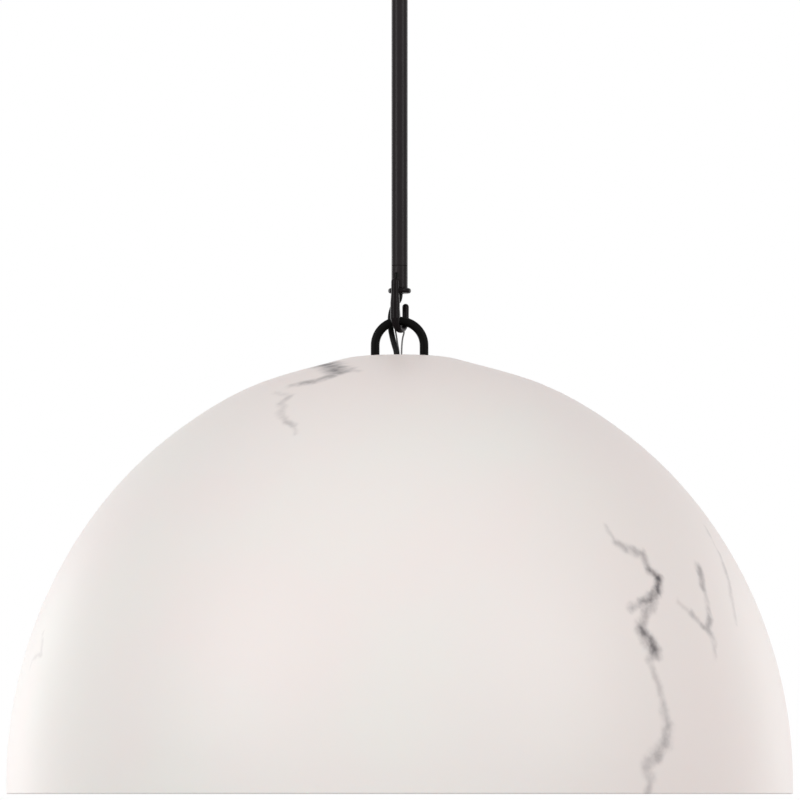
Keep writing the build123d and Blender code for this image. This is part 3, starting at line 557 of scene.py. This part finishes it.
def cords_in_rod():
    """The cord and the two wires inside the rod, from the nipple to the collar."""
    z_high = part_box("rod_cord")[1][2]
    cord = straight_in_rod("rod_cord_shown", CORD_IN_ROD, CORD_RADIUS, z_high)
    put_finish(cord, FINISHES["cord_black"])
    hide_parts("rod_cord")
    ground = straight_in_rod("rod_ground_wire", GROUND_IN_ROD, WIRE_RADIUS, z_high)
    safety = straight_in_rod("rod_safety_wire", SAFETY_IN_ROD, WIRE_RADIUS, z_high)
    for wire in (ground, safety):
        put_finish(wire, FINISHES["wire_grey"])
    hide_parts("rod_wires")
    for piece in (cord, ground, safety):
        PIVOT + SWIVEL_BLEND
        PIVOT - SWIVEL_BLEND
        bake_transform(piece)


cords_in_rod()

# ---------- floor, light and world ----------

FLOOR_DROP = 5.5
FLOOR_SIZE = 30.0
SEEN_WHITE = 1.0
WORLD_LEVEL = 0.42
LIGHT_DISTANCE = 3.4
LIGHT_AIM = 0.12  # the boxes face a point this far below the crown
BOX_HEIGHT = 2.0


def pale_floor():
    """A plain pale floor well below the rim."""
    half = FLOOR_SIZE / 2
    z = RIM - FLOOR_DROP
    floor = new_mesh("floor", [(-half, -half, z), (half, -half, z), (half, half, z), (-half, half, z)],
                     [(0, 1, 2, 3)], smooth=False)
    finish = Finish("floor")
    place = finish.position()
    colour = finish.mix(finish.noise(place, 2.0), (0.86, 0.86, 0.86), (0.89, 0.89, 0.89))
    put_finish(floor, finish.surface(Base_Color=colour, Roughness=0.7))


def plain_world():
    """Even light on the object; white where it is seen directly, in gloss or through glass."""
    world = bpy.data.worlds.new("world")
    bpy.context.scene.world = world
    world.use_nodes = True
    tree = world.node_tree
    tree.nodes.clear()
    path = tree.nodes.new("ShaderNodeLightPath")
    direct = tree.nodes.new("ShaderNodeMath")
    direct.operation = "MAXIMUM"
    tree.links.new(path.outputs["Is Camera Ray"], direct.inputs[0])
    tree.links.new(path.outputs["Is Transmission Ray"], direct.inputs[1])
    seen = tree.nodes.new("ShaderNodeMath")
    seen.operation = "MAXIMUM"
    tree.links.new(direct.outputs[0], seen.inputs[0])
    tree.links.new(path.outputs["Is Glossy Ray"], seen.inputs[1])
    level = tree.nodes.new("ShaderNodeMapRange")
    level.inputs["To Min"].default_value = WORLD_LEVEL
    level.inputs["To Max"].default_value = SEEN_WHITE
    tree.links.new(seen.outputs[0], level.inputs["Value"])
    background = tree.nodes.new("ShaderNodeBackground")
    background.inputs["Color"].default_value = (1, 1, 1, 1)
    tree.links.new(level.outputs[0], background.inputs["Strength"])
    output = tree.nodes.new("ShaderNodeOutputWorld")
    tree.links.new(background.outputs[0], output.inputs["Surface"])


def soft_light(name, azimuth, elevation, width, power):
    """A soft box that faces the bowl, placed by its direction from the bowl."""
    turn, rise = math.radians(azimuth), math.radians(elevation)
    lamp = bpy.data.lights.new(name, "AREA")
    lamp.shape = "RECTANGLE"
    lamp.size, lamp.size_y = width, BOX_HEIGHT
    lamp.energy = power
    holder = bpy.data.objects.new(name, lamp)
    level = LIGHT_DISTANCE * math.cos(rise)
    height = CROWN - LIGHT_AIM + LIGHT_DISTANCE * math.sin(rise)
    holder.location = (level * math.sin(turn), -level * math.cos(turn), height)
    holder.rotation_euler = (math.pi / 2 - rise, 0, turn)
    holder.visible_camera = False
    bpy.context.collection.objects.link(holder)


pale_floor()
plain_world()
soft_light("left_box", -49, 20, 1.5, 49)
soft_light("right_box", 49, 20, 1.5, 43)
soft_light("low_box", 0, -28, 1.8, 8)
soft_light("left_rear_box", -135, 0, 1.8, 29)
soft_light("right_rear_box", 135, 0, 1.8, 20)

bpy.context.scene.view_settings.view_transform = "Standard"
